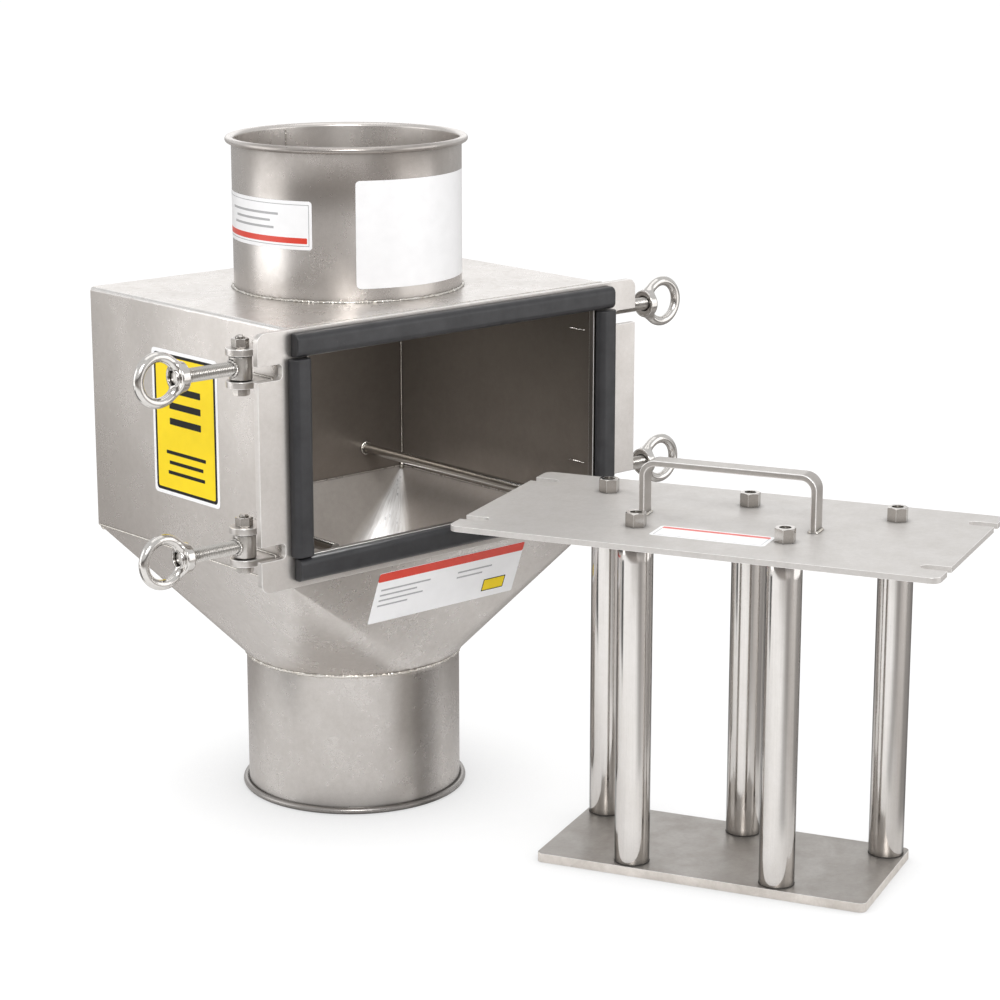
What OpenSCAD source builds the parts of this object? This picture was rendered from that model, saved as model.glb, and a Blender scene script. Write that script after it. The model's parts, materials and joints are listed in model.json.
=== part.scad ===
// Drawer magnet for a gravity pipe line: a square housing with round spigots
// and a withdrawn magnetic drawer standing beside it on its end plate.
// Millimetres. +Z up, front (drawer opening) towards -Y.
// Origin: centre of the outlet spigot's bottom rim, at floor level.

/* [Spigots] */
// Outside diameter of the inlet spigot
inlet_d = 204; // [180:1:220]
// Outside diameter of the outlet spigot
outlet_d = 196; // [180:1:220]
// Sheet thickness of spigots, hopper and box
sheet_t = 2; // [1.5:0.5:3]
// Height of the outlet spigot up to the hopper joint
outlet_h = 129; // [100:1:160]
// Height of the inlet spigot above the box top
inlet_h = 134; // [100:1:160]
// Radius of the rolled bead at each rim
bead_r = 3; // [2.5:0.25:4]

/* [Box and hopper] */
// Width of the box
box_w = 360; // [350:1:364]
// Depth of the box
box_d = 286; // [284:1:300]
// Height of the hopper between spigot and box
hopper_h = 119; // [90:1:150]
// Height of the box
box_h = 218; // [216:1:230]
// Outside radius of the folded top edges
fold_r = 4; // [3:0.5:6]

/* [Front flange] */
// Width of the flange
flange_w = 428; // [424:1:440]
// Thickness of the flange plate
flange_t = 6; // [5:0.5:8]
// Corner radius of the flange
flange_corner_r = 8; // [5:1:12]
// Width of the drawer opening
open_w = 324; // [318:1:326]
// Height of the drawer opening
open_h = 169.5; // [166:0.5:170]
// Height of the bolt slots above and below the flange centre
slot_z = 75.5; // [74:0.5:76]
// Width of the bolt slots
slot_w = 13; // [12.75:0.25:13.5]
// Distance of a slot's closed end from the centre
slot_end = 189; // [188:0.5:192]

/* [Seals] */
// Width of the seal strip
seal_w = 19.5; // [18:0.5:20]
// Height of the seal strip above the flange
seal_h = 9.8; // [8:0.2:10]
// Radius of the seal strip's front edges
seal_r = 5.5; // [3:0.5:7]

/* [Swing bolts] */
// Distance of the hinge pin from the centre
pin_x = 203; // [202:0.5:205]
// Distance of the hinge pin behind the flange's back face
pin_back = 32; // [30:0.5:34]
// Outside diameter of the barrel
barrel_d = 19.5; // [17:0.5:20]
// Length of the barrel
barrel_l = 20; // [18:0.5:22]
// Diameter of the threaded rod
rod_d = 12; // [12:0.5:12]
// Length of the rod from the hinge pin
rod_l = 66; // [64:1:68]
// Thickness of a hinge lug
lug_t = 6; // [5:0.5:7]
// Radius of a hinge lug's round end
lug_r = 12.5; // [12:0.5:13]
// Diameter of the hinge pin
pin_d = 8; // [8:0.5:8]
// Distance of the ring nut's seat from the hinge pin
nut_at = 58; // [55:0.5:60]

/* [Ring nut] */
// Diameter of the collar
collar_d = 25; // [24:0.5:26]
// Outside diameter of the ring
ring_od = 46.5; // [45:0.5:47.5]
// Thickness of the ring
ring_t = 8.75; // [8:0.25:9]
// Distance of the ring's centre from the seat
ring_at = 24.5; // [24.5:0.5:27]

/* [Guide rods] */
// Diameter of a guide rod
guide_d = 10; // [8:1:10]
// Distance of a guide rod from the centre
guide_x = 132; // [128:1:136]
// Height of the guide rods above the floor
guide_z = 272; // [270:1:276]

/* [Drawer] */
// Length of the face plate
plate_l = 416; // [412:1:428]
// Distance of a face plate slot's closed end from the centre
plate_slot_end = 185; // [183:0.5:190]
// Width of the face plate
plate_w = 214; // [212:1:216]
// Thickness of the face plate
plate_t = 5; // [4:0.5:6]
// Height of the standing drawer over the face plate
drawer_h = 302; // [296:1:302]
// Length of the end plate
end_l = 292; // [290:1:300]
// Width of the end plate
end_w = 139; // [137:1:139]
// Thickness of the end plate
end_t = 8; // [6:0.5:10]
// Shift of tubes and end plate across the face plate
tube_shift = 6; // [5:0.5:6]
// Outside diameter of a magnet tube
tube_d = 30; // [28:0.5:31]
// Wall of a magnet tube
tube_t = 1.5; // [1:0.25:2]
// Spacing of the tubes in a row
tube_pitch = 129; // [126:1:129]
// Distance between the two rows
row_pitch = 104; // [102:1:104]
// Position of the standing drawer, to the right of the outlet
drawer_x = 98; // [98:1:120]
// Position of the standing drawer, in front of the outlet
drawer_y = -379; // [-420:1:-379]
// Turn of the standing drawer about the vertical
drawer_turn = -65.45; // [-70:0.05:-65]

/* [Handle] */
// Length over the handle's legs
handle_l = 155; // [140:1:165]
// Height of the handle above the face plate
handle_h = 48.5; // [40:0.5:60]
// Width of the handle's flat bar
handle_w = 18; // [14:1:20]
// Thickness of the handle's flat bar
handle_t = 5; // [4:0.5:8]
// Outside radius of the handle's bends
handle_r = 14; // [10:1:18]

/* [Hidden] */
eps = 0.01;
ri = inlet_d / 2;
ro = outlet_d / 2;
zb = outlet_h + hopper_h;            // hopper to box joint
zt = zb + box_h;                     // top of the box
ztop = zt + inlet_h;                 // rim of the inlet
yb = box_d / 2;                      // back of the box
yf = -box_d / 2;                     // back face of the flange
yF = yf - flange_t;                  // front face of the flange
zc = zb + box_h / 2;                 // centre of the opening
pin_y = yf + pin_back;
hinge_gap = 0.6;                     // play between barrel and lugs
lug_z = barrel_l / 2 + hinge_gap;
hex_af = 13;                         // M8 across flats
hinge_nut_h = 8;
hinge_head_h = 6.5;
open_up = 1.75;                      // opening's centre above the flange's centre
hex_r = hex_af / sqrt(3);
bore_play = 0.06;
strip_high = open_h / 2 + 11.5;      // centre line of the top strip above the centre
strip_low = open_h / 2 + 8.5;        // centre line of the bottom strip below the centre
strip_x = open_w / 2 + 11.75;        // centre line of the side strips
seal_l = 360;                        // length of the top and bottom strips
strip_gap = 1.5;
label_t = 0.3;

// tube centres in the face plate's own frame
rows = [
  [-tube_pitch, tube_shift + row_pitch / 2], [0, tube_shift + row_pitch / 2], [tube_pitch, tube_shift + row_pitch / 2],
  [-tube_pitch / 2, tube_shift - row_pitch / 2], [tube_pitch / 2, tube_shift - row_pitch / 2]
];
tube_z0 = end_t;
tube_z1 = drawer_h - plate_t;
plug_foot = 14;
plug_top = 12;
n_mag = 9;
pole_t = 3.8;
stack_z0 = tube_z0 + plug_foot;
stack_l = tube_z1 - plug_top - stack_z0;
mag_t = (stack_l - (n_mag + 1) * pole_t) / n_mag;
core_r = tube_d / 2 - tube_t - 0.15;
screw_r = 4;
stud_r = 5;
tube_nut_af = 16;
tube_nut_h = 12;
handle_u = 2.5;                      // place of the handle on the face plate
handle_v = -4;

// ---------- 2D helpers ----------
// rectangle with true round corners, centred
module round_rect(w, h, r) {
  square([w - 2 * r, h], center = true);
  square([w, h - 2 * r], center = true);
  for (sx = [-1, 1], sy = [-1, 1])
    translate([sx * (w / 2 - r), sy * (h / 2 - r)]) circle(r = r, $fn = 48);
}
// slot open to the right, from x = 0 to x = l, with rounded inner corners
module open_slot(l, w, r) {
  translate([r, -w / 2]) square([l - r, w]);
  translate([0, -w / 2 + r]) square([r + eps, w - 2 * r]);
  for (s = [-1, 1]) translate([r, s * (w / 2 - r)]) circle(r = r, $fn = 32);
}
// flat plate with open slots at its short ends, drawn in its own plane
module slotted_plate(w, h, r, closed_end, slot_r) {
  difference() {
    round_rect(w, h, r);
    for (sx = [0, 1], sz = [-1, 1])
      mirror([sx, 0]) translate([closed_end, sz * slot_z]) open_slot(w / 2 - closed_end + 2, slot_w, slot_r);
  }
}
// section of a seal strip: flat back on the flange, rounded front
module seal_section() intersection() {
  union() {
    translate([-seal_w / 2, 0]) square([seal_w, seal_h - seal_r]);
    translate([-seal_w / 2 + seal_r, 0]) square([seal_w - 2 * seal_r, seal_h]);
    for (s = [-1, 1]) translate([s * (seal_w / 2 - seal_r), seal_h - seal_r]) circle(r = seal_r, $fn = 48);
  }
  translate([-seal_w / 2, 0]) square([seal_w, seal_h]);
}

// ---------- housing ----------
// thin walled round spigot with an outward rolled bead at its free end
module spigot(r, h, bead_top) {
  rotate_extrude($fn = 180) {
    translate([r - sheet_t, 0]) square([sheet_t, h]);
    translate([r + bead_r - 0.5, bead_top ? h - bead_r : bead_r]) circle(r = bead_r, $fn = 32);
  }
}
module outlet_spigot() color("silver") spigot(ro, outlet_h, false);
module inlet_spigot() color("silver") translate([0, 0, zt]) spigot(ri, inlet_h, true);

// square-to-round transition: flat triangles and corner cones
module hopper() color("silver") difference() {
  hull() {
    translate([0, 0, outlet_h]) cylinder(r = ro, h = eps, $fn = 96);
    translate([-box_w / 2, -box_d / 2, zb - eps]) cube([box_w, box_d, eps]);
  }
  hull() {
    translate([0, 0, outlet_h - eps]) cylinder(r = ro - sheet_t, h = eps, $fn = 96);
    translate([-box_w / 2 + sheet_t, -box_d / 2 + sheet_t, zb]) cube([box_w - 2 * sheet_t, box_d - 2 * sheet_t, eps]);
  }
}

// one folded sheet: left wall, top and right wall, with the inlet hole
module wrap_section(w, h, r) {
  translate([-w / 2, 0]) square([w, h - r]);
  translate([-w / 2 + r, 0]) square([w - 2 * r, h]);
  for (s = [-1, 1]) translate([s * (w / 2 - r), h - r]) circle(r = r, $fn = 48);
}
module box_wrap() color("silver") difference() {
  translate([0, yb, zb]) rotate([90, 0, 0]) linear_extrude(height = box_d)
    difference() {
      wrap_section(box_w, box_h, fold_r);
      translate([0, -eps]) wrap_section(box_w - 2 * sheet_t, box_h - sheet_t + eps, fold_r - sheet_t);
    }
  translate([0, 0, zt - 10]) cylinder(r = ri - sheet_t, h = 20, $fn = 180);
}
module back_panel() color("silver")
  translate([0, yb, zb]) rotate([90, 0, 0]) linear_extrude(height = sheet_t)
    wrap_section(box_w - 2 * sheet_t, box_h - sheet_t, fold_r - sheet_t);

module front_flange() color("gainsboro")
  translate([0, yf, zc]) rotate([90, 0, 0]) linear_extrude(height = flange_t)
    difference() {
      slotted_plate(flange_w, box_h, flange_corner_r, slot_end, 4);
      translate([0, open_up]) square([open_w, open_h], center = true);
    }

module guide_rod(s) color("lightgray")
  translate([s * guide_x, yf, guide_z]) rotate([-90, 0, 0]) cylinder(d = guide_d, h = box_d - sheet_t, $fn = 48);

// ---------- seals ----------
module seal_across(z) color("dimgray")
  translate([-seal_l / 2, yF, zc + z]) rotate([0, 90, 0]) rotate([0, 0, 180])
    linear_extrude(height = seal_l) seal_section();
module seal_up(s) color("dimgray")
  translate([s * strip_x, yF, zc - strip_low + seal_w / 2 + strip_gap]) rotate([0, 0, 180])
    linear_extrude(height = strip_high + strip_low - seal_w - 2 * strip_gap) seal_section();

// ---------- swing bolts ----------
// s = side (-1 left, 1 right), t = -1 bottom, 1 top, u = lug below or above
module lug(s, t, u) color("lightgray")
  translate([0, 0, zc + t * slot_z + (u > 0 ? lug_z : -lug_z - lug_t)]) mirror([s > 0 ? 0 : 1, 0, 0])
    linear_extrude(height = lug_t) difference() {
      union() {
        translate([box_w / 2, pin_y - lug_r]) square([pin_x - box_w / 2, 2 * lug_r]);
        translate([pin_x, pin_y]) circle(r = lug_r, $fn = 64);
      }
      translate([pin_x, pin_y]) circle(d = pin_d + 0.1, $fn = 48);
    }
module hinge_bolt(s, t) color("lightgray")
  translate([s * pin_x, pin_y, zc + t * slot_z]) {
    translate([0, 0, -lug_z - lug_t - hinge_head_h]) rotate([0, 0, 33]) intersection() {
      cylinder(r = hex_r, h = hinge_head_h, $fn = 6);
      union() {
        cylinder(r1 = hex_af / 2, r2 = hex_af / 2 + 1.2, h = 1, $fn = 64);
        translate([0, 0, 1]) cylinder(r = hex_r + 1, h = hinge_head_h - 1, $fn = 64);
      }
    }
    translate([0, 0, -lug_z - lug_t - eps]) cylinder(d = pin_d, h = 2 * (lug_z + lug_t) + hinge_nut_h + 1.2, $fn = 48);
    translate([0, 0, lug_z + lug_t + hinge_nut_h + 1.2 - 2 * eps]) cylinder(r1 = pin_d / 2, r2 = pin_d / 2 - 1.2, h = 1.2, $fn = 48);
  }
// chamfered hexagon nut standing on z = 0
module hex_nut(af, h, bore) difference() {
  intersection() {
    cylinder(r = af / sqrt(3), h = h, $fn = 6);
    union() {
      cylinder(r1 = af / 2 + 0.3, r2 = af / 2 + 1.5, h = 0.8, $fn = 64);
      translate([0, 0, 0.8]) cylinder(r = af, h = h - 1.8, $fn = 64);
      translate([0, 0, h - 1]) cylinder(r1 = af / 2 + 1.5, r2 = af / 2, h = 1, $fn = 64);
    }
  }
  translate([0, 0, -1]) cylinder(r = bore, h = h + 2, $fn = 48);
}
module hinge_nuts() color("lightgray")
  for (s = [-1, 1], t = [-1, 1])
    translate([s * pin_x, pin_y, zc + t * slot_z + lug_z + lug_t]) rotate([0, 0, 27]) hex_nut(hex_af, hinge_nut_h, pin_d / 2 + 0.05);

// barrel with the rod welded to its side, rod along +X before mirroring
module swing_bolt(s, t) color("silver")
  translate([s * pin_x, pin_y, zc + t * slot_z]) mirror([s > 0 ? 0 : 1, 0, 0]) difference() {
    union() {
      translate([0, 0, -barrel_l / 2]) cylinder(d = barrel_d, h = barrel_l, $fn = 64);
      rotate([0, 90, 0]) cylinder(d = rod_d, h = rod_l - 1, $fn = 48);
      translate([rod_l - 1, 0, 0]) rotate([0, 90, 0]) cylinder(r1 = rod_d / 2, r2 = rod_d / 2 - 1, h = 1, $fn = 48);
    }
    translate([0, 0, -barrel_l]) cylinder(r = pin_d / 2 + bore_play, h = 2 * barrel_l, $fn = 48);
  }
// ring nut: collar seat at the origin, ring centre along +X
module ring_nut(s, t) color("whitesmoke")
  translate([s * (pin_x + nut_at), pin_y, zc + t * slot_z]) mirror([s > 0 ? 0 : 1, 0, 0]) difference() {
    union() {
      rotate([0, 90, 0]) cylinder(r1 = collar_d / 2 - 0.8, r2 = collar_d / 2, h = 0.8, $fn = 64);
      translate([0.8, 0, 0]) rotate([0, 90, 0]) cylinder(d = collar_d, h = 7.2, $fn = 64);
      translate([8, 0, 0]) rotate([0, 90, 0]) cylinder(r1 = collar_d / 2, r2 = 9, h = 2.5, $fn = 64);
      translate([10, 0, 0]) rotate([0, 90, 0]) cylinder(r = 7.5, h = ring_at - ring_od / 2 + ring_t - 9, $fn = 64);
      translate([ring_at, 0, 0]) rotate([90, 0, 0]) rotate_extrude($fn = 96)
        translate([(ring_od - ring_t) / 2, 0]) circle(d = ring_t, $fn = 48);
    }
    translate([-1, 0, 0]) rotate([0, 90, 0]) cylinder(r = rod_d / 2 + bore_play, h = 15, $fn = 48);
    // shallow recess and chamfered mouth in the seat
    translate([-1, 0, 0]) rotate([0, 90, 0]) cylinder(r = 10.6, h = 1.6, $fn = 64);
    translate([0.5, 0, 0]) rotate([0, 90, 0]) cylinder(r1 = rod_d / 2 + 1.6, r2 = rod_d / 2, h = 1.8, $fn = 48);
  }

// ---------- labels on the housing ----------
module label_on_inlet(a0, a1, z0, z1) color("white")
  translate([0, 0, z0]) rotate([0, 0, a0]) rotate_extrude(angle = a1 - a0, $fn = 180)
    translate([ri, 0]) square([label_t, z1 - z0]);
module label_inlet_small() label_on_inlet(138, 214, zt + 45, zt + 87);
module label_inlet_large() label_on_inlet(-124.7, -45, zt + 12, zt + 105);
module label_side() color("gold")
  translate([-box_w / 2, 2, zb + 112.5]) rotate([0, -90, 0]) linear_extrude(height = label_t) round_rect(129, 96, 4);
// the hopper's front triangle runs inwards and down at this angle from the vertical
front_lean = atan((box_d / 2 - ro) / (hopper_h - eps));
module label_hopper() color("white")
  translate([3, yf - 0.003, zb - eps]) rotate([90 + front_lean, 0, 0]) translate([0, -35, 0])
    linear_extrude(height = label_t) round_rect(168, 53, 2);

// ---------- drawer, in its standing place ----------
module in_place() translate([drawer_x, drawer_y, 0]) rotate([0, 0, drawer_turn]) children();

module face_plate() color("gainsboro") in_place()
  translate([0, 0, drawer_h - plate_t]) linear_extrude(height = plate_t) difference() {
    slotted_plate(plate_l, plate_w, flange_corner_r, plate_slot_end, slot_w / 2 - 0.2);
    for (p = rows) translate(p) circle(r = stud_r + 0.25, $fn = 48);
  }
// flat bar bent to a bow with two legs
module bow(l, h, r) {
  translate([-l / 2, 0]) square([l, h - r]);
  translate([-l / 2 + r, 0]) square([l - 2 * r, h]);
  for (s = [-1, 1]) translate([s * (l / 2 - r), h - r]) circle(r = r, $fn = 64);
}
module handle() color("silver") in_place()
  translate([handle_u, handle_v + handle_w / 2, drawer_h]) rotate([90, 0, 0]) linear_extrude(height = handle_w) difference() {
    bow(handle_l, handle_h, handle_r);
    translate([0, -eps]) bow(handle_l - 2 * handle_t, handle_h - handle_t + eps, handle_r - handle_t);
  }
module end_plate() color("gainsboro") in_place() difference() {
  translate([0, tube_shift, 0]) linear_extrude(height = end_t) round_rect(end_l, end_w, 6);
  for (p = rows) translate([p[0], p[1], -1]) {
    cylinder(r = screw_r + 0.25, h = end_t + 2, $fn = 48);
    cylinder(r = 8.25, h = 1.5, $fn = 48);
    translate([0, 0, 1.5]) cylinder(r1 = 8.25, r2 = screw_r + 0.25, h = 4, $fn = 48);
  }
}
module tube(i) color("silver") in_place() translate([rows[i][0], rows[i][1], tube_z0]) difference() {
  cylinder(d = tube_d, h = tube_z1 - tube_z0, $fn = 96);
  translate([0, 0, -1]) cylinder(r = tube_d / 2 - tube_t, h = tube_z1 - tube_z0 + 2, $fn = 96);
}
module magnet_discs() color("darkgray") in_place()
  for (p = rows, k = [0:n_mag - 1])
    translate([p[0], p[1], stack_z0 + pole_t + k * (mag_t + pole_t)]) cylinder(r = core_r, h = mag_t, $fn = 48);
module pole_discs() color("gray") in_place()
  for (p = rows, k = [0:n_mag])
    translate([p[0], p[1], stack_z0 + k * (mag_t + pole_t)]) cylinder(r = core_r, h = pole_t, $fn = 48);
module stud_plugs() color("lightgray") in_place()
  for (p = rows) translate([p[0], p[1], 0]) {
    translate([0, 0, tube_z1 - plug_top]) cylinder(r = tube_d / 2 - tube_t - 0.06, h = plug_top, $fn = 64);
    translate([0, 0, tube_z1 - eps]) cylinder(r = stud_r, h = plate_t + tube_nut_h - 2, $fn = 48);
  }
module foot_plugs() color("lightgray") in_place()
  for (p = rows) translate([p[0], p[1], tube_z0]) difference() {
    cylinder(r = tube_d / 2 - tube_t - 0.06, h = plug_foot, $fn = 64);
    translate([0, 0, -1]) cylinder(r = screw_r + 0.05, h = 12, $fn = 48);
  }
module tube_nuts() color("silver") in_place()
  for (p = rows) translate([p[0], p[1], drawer_h]) rotate([0, 0, 97]) hex_nut(tube_nut_af, tube_nut_h, stud_r + 0.05);
module end_screws() color("lightgray") in_place()
  for (p = rows) translate([p[0], p[1], 0]) difference() {
    union() {
      translate([0, 0, 0.3]) cylinder(r = 8, h = 0.3, $fn = 48);
      translate([0, 0, 0.6]) cylinder(r1 = 8, r2 = screw_r, h = 3.9, $fn = 48);
      translate([0, 0, 0.3]) cylinder(r = screw_r, h = 17, $fn = 48);
    }
    translate([0, 0, -1]) cylinder(r = 2.9, h = 3.8, $fn = 6);
  }
module label_drawer() color("white") in_place()
  translate([4.5, -53, drawer_h]) linear_extrude(height = label_t) round_rect(99, 32, 3);

outlet_spigot();
hopper();
box_wrap();
back_panel();
inlet_spigot();
front_flange();
guide_rod(-1);  // guide_rod_left
guide_rod(1);  // guide_rod_right
seal_across(strip_high);  // seal_top
seal_across(-strip_low);  // seal_bottom
seal_up(-1);  // seal_left
seal_up(1);  // seal_right
lug(-1, 1, 1);  // lug_left_top_upper
lug(-1, 1, -1);  // lug_left_top_lower
lug(-1, -1, 1);  // lug_left_bottom_upper
lug(-1, -1, -1);  // lug_left_bottom_lower
lug(1, 1, 1);  // lug_right_top_upper
lug(1, 1, -1);  // lug_right_top_lower
lug(1, -1, 1);  // lug_right_bottom_upper
lug(1, -1, -1);  // lug_right_bottom_lower
hinge_bolt(-1, 1);  // hinge_bolt_left_top
hinge_bolt(-1, -1);  // hinge_bolt_left_bottom
hinge_bolt(1, 1);  // hinge_bolt_right_top
hinge_bolt(1, -1);  // hinge_bolt_right_bottom
hinge_nuts();
swing_bolt(-1, 1);  // swing_bolt_left_top
swing_bolt(-1, -1);  // swing_bolt_left_bottom
swing_bolt(1, 1);  // swing_bolt_right_top
swing_bolt(1, -1);  // swing_bolt_right_bottom
ring_nut(-1, 1);  // ring_nut_left_top
ring_nut(-1, -1);  // ring_nut_left_bottom
ring_nut(1, 1);  // ring_nut_right_top
ring_nut(1, -1);  // ring_nut_right_bottom
label_inlet_small();
label_inlet_large();
label_side();
label_hopper();
face_plate();
handle();
end_plate();
tube(0);  // tube_1
tube(1);  // tube_2
tube(2);  // tube_3
tube(3);  // tube_4
tube(4);  // tube_5
magnet_discs();
pole_discs();
stud_plugs();
foot_plugs();
tube_nuts();
end_screws();
label_drawer();
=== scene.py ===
import bpy, bmesh, json, math
import numpy as np
from mathutils import Vector, Matrix, noise


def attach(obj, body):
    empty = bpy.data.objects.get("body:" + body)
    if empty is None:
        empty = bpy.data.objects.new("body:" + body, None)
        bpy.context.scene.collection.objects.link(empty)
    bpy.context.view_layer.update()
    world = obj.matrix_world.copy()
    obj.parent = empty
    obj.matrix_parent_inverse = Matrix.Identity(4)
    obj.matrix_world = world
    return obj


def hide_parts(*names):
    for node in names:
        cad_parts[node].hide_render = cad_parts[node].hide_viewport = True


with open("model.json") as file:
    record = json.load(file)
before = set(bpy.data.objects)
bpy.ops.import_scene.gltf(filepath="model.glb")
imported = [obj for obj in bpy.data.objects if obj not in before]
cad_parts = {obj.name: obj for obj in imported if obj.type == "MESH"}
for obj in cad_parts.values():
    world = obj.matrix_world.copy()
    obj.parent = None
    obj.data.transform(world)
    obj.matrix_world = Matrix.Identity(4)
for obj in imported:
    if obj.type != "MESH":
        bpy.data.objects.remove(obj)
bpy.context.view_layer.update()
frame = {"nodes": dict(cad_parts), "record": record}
NODES = frame["nodes"]
MM = 0.001
scene = bpy.context.scene
BODY = {n: b for b, ns in frame["record"]["behaviour"]["bodies"].items() for n in ns}
SLOT = {s["node"]: s["material_slot"] for s in frame["record"]["subparts"]}

# ------------------------------------------------------------------ camera
cam_data = bpy.data.cameras.new("camera")
cam = bpy.data.objects.new("camera", cam_data)
scene.collection.objects.link(cam)
cam.location = (-1.51982, -1.90135, 0.86302)
cam.rotation_euler = (math.pi / 2 - 0.240603, 0.0, -0.730184)
cam_data.sensor_width = 36.0
cam_data.lens = 98.646
cam_data.clip_end = 200.0
scene.camera = cam
scene.view_settings.view_transform = "Standard"
scene.view_settings.look = "None"


# ------------------------------------------------------------------ node helpers
class Nodes:
    def __init__(self, tree):
        self.t = tree
        self.x = 0
        self.dull_and_shade = None

    def add(self, kind, **props):
        n = self.t.nodes.new(kind)
        self.x += 1
        n.location = (self.x * 180, 0)
        for k, v in props.items():
            setattr(n, k, v)
        return n

    def link(self, a, b):
        self.t.links.new(a, b)

    def math(self, op, a, b=None, clamp=False):
        n = self.add("ShaderNodeMath", operation=op, use_clamp=clamp)
        for i, v in enumerate((a, b)):
            if v is None:
                continue
            if isinstance(v, (int, float)):
                n.inputs[i].default_value = v
            else:
                self.link(v, n.inputs[i])
        return n.outputs[0]

    def ramp(self, fac, stops, interp="LINEAR"):
        n = self.add("ShaderNodeValToRGB")
        n.color_ramp.interpolation = interp
        els = n.color_ramp.elements
        while len(els) < len(stops):
            els.new(0.5)
        for e, (p, c) in zip(els, stops):
            e.position = p
            e.color = (c, c, c, 1) if isinstance(c, (int, float)) else (*c, 1)
        self.link(fac, n.inputs[0])
        return n.outputs[0]

    def mix(self, fac, a, b, blend="MIX"):
        n = self.add("ShaderNodeMix", data_type="RGBA", blend_type=blend)
        for i, v in ((0, fac), (6, a), (7, b)):
            if isinstance(v, (int, float)):
                n.inputs[i].default_value = v if i == 0 else (v, v, v, 1)
            elif isinstance(v, tuple):
                n.inputs[i].default_value = (*v, 1)
            else:
                self.link(v, n.inputs[i])
        return n.outputs[2]

    def noise(self, coord, scale, detail=3.0, rough=0.5, stretch=None, dist=0.0):
        if stretch:
            m = self.add("ShaderNodeMapping")
            m.inputs["Scale"].default_value = stretch
            self.link(coord, m.inputs[0])
            coord = m.outputs[0]
        n = self.add("ShaderNodeTexNoise")
        n.inputs["Scale"].default_value = scale
        n.inputs["Detail"].default_value = detail
        n.inputs["Roughness"].default_value = rough
        n.inputs["Distortion"].default_value = dist
        self.link(coord, n.inputs["Vector"])
        return n.outputs[0]

    def maprange(self, v, a0, a1, b0, b1, smooth=False):
        n = self.add("ShaderNodeMapRange")
        if smooth:
            n.interpolation_type = "SMOOTHSTEP"
        for i, x in ((1, a0), (2, a1), (3, b0), (4, b1)):
            n.inputs[i].default_value = x
        self.link(v, n.inputs[0])
        return n.outputs[0]

    def bump(self, height, strength, distance, normal=None):
        n = self.add("ShaderNodeBump")
        n.inputs["Strength"].default_value = strength
        n.inputs["Distance"].default_value = distance
        self.link(height, n.inputs["Height"])
        if normal is not None:
            self.link(normal, n.inputs["Normal"])
        return n.outputs[0]

    def xyz(self, coord):
        n = self.add("ShaderNodeSeparateXYZ")
        self.link(coord, n.inputs[0])
        return n.outputs[0], n.outputs[1], n.outputs[2]

    # 1 between a and b, soft at both ends
    def band(self, v, a, b, soft):
        lo = self.maprange(v, a - soft, a + soft, 0.0, 1.0, True)
        hi = self.maprange(v, b - soft, b + soft, 1.0, 0.0, True)
        return self.math("MULTIPLY", lo, hi)


def material(name):
    m = bpy.data.materials.new(name)
    m.use_nodes = True
    nt = m.node_tree
    bsdf = next(n for n in nt.nodes if n.type == "BSDF_PRINCIPLED")
    return m, Nodes(nt), bsdf


def coords(k):
    return k.add("ShaderNodeTexCoord").outputs["Object"]


# steel: colour, mottling, roughness and fine grain all vary over the surface
def steel(name, base, rough, tint=0.05, blotch=28.0, grain=900.0, grain_bump=0.12, wave=0.0, metallic=1.0,
          brushed=None, brush_bump=0.06, shade=None, warm=(0.985, 0.98, 0.965), wave_scale=9.0, crevice_shade=0.85, reach=0.006, edge_shade=0.0):
    m, k, b = material(name)
    co = coords(k)
    big = k.noise(co, blotch, 4.0, 0.55)
    mid = k.noise(co, blotch * 6.5, 3.0, 0.5)
    fine = k.noise(co, grain, 2.0, 0.6)
    f = k.math("ADD", k.math("MULTIPLY", big, 0.6), k.math("MULTIPLY", mid, 0.4))
    lo = tuple(c * (1 - tint * 1.6) * w for c, w in zip(base, warm))
    hi = tuple(min(1.0, c * (1 + tint)) for c in base)
    col = k.ramp(f, [(0.32, lo), (0.68, hi)])
    speck = k.ramp(fine, [(0.3, 0.955), (0.7, 1.02)])
    col = k.mix(1.0, col, speck, "MULTIPLY")
    r = k.maprange(f, 0.3, 0.7, rough * 1.12, rough * 0.90)
    normal = None
    if brushed:
        streak = k.noise(co, 1.0, 3.0, 0.65, stretch=brushed)
        r = k.math("ADD", r, k.maprange(streak, 0.3, 0.7, 0.05, -0.05))
        col = k.mix(1.0, col, k.ramp(streak, [(0.3, 0.95), (0.7, 1.03)]), "MULTIPLY")
        normal = k.bump(streak, brush_bump, 0.0004)
    # painted shade: the colour darkens where the surface is seen at a grazing angle, standing in for dark reflections
    # at the edges
    if edge_shade:
        lw = k.add("ShaderNodeLayerWeight")
        lw.inputs["Blend"].default_value = 0.5
        col = k.mix(k.maprange(lw.outputs["Facing"], 0.52, 0.80, 0.0, edge_shade, True), col, (0.02, 0.018, 0.016))
    if shade:
        col, r = shade(k, co, col, r)
    if wave:
        slow = k.noise(co, wave_scale, 1.5, 0.4)
        normal = k.bump(slow, wave, 0.02, normal)
    normal = k.bump(fine, grain_bump, 0.0003, normal)
    # painted shade: ambient occlusion darkens the colour in crevices and where parts meet
    if crevice_shade:
        ao = k.add("ShaderNodeAmbientOcclusion", samples=3)
        ao.inputs["Distance"].default_value = reach
        dark = k.maprange(ao.outputs["AO"], 0.12, 0.92, crevice_shade, 0.0)
        col = k.mix(dark, col, (0.05, 0.045, 0.04))
    k.link(col, b.inputs["Base Color"])
    k.link(r, b.inputs["Roughness"])
    k.link(normal, b.inputs["Normal"])
    b.inputs["Metallic"].default_value = metallic
    if k.dull_and_shade is not None:
        k.link(k.math("SUBTRACT", metallic, k.dull_and_shade), b.inputs["Metallic"])
    return m


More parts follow.
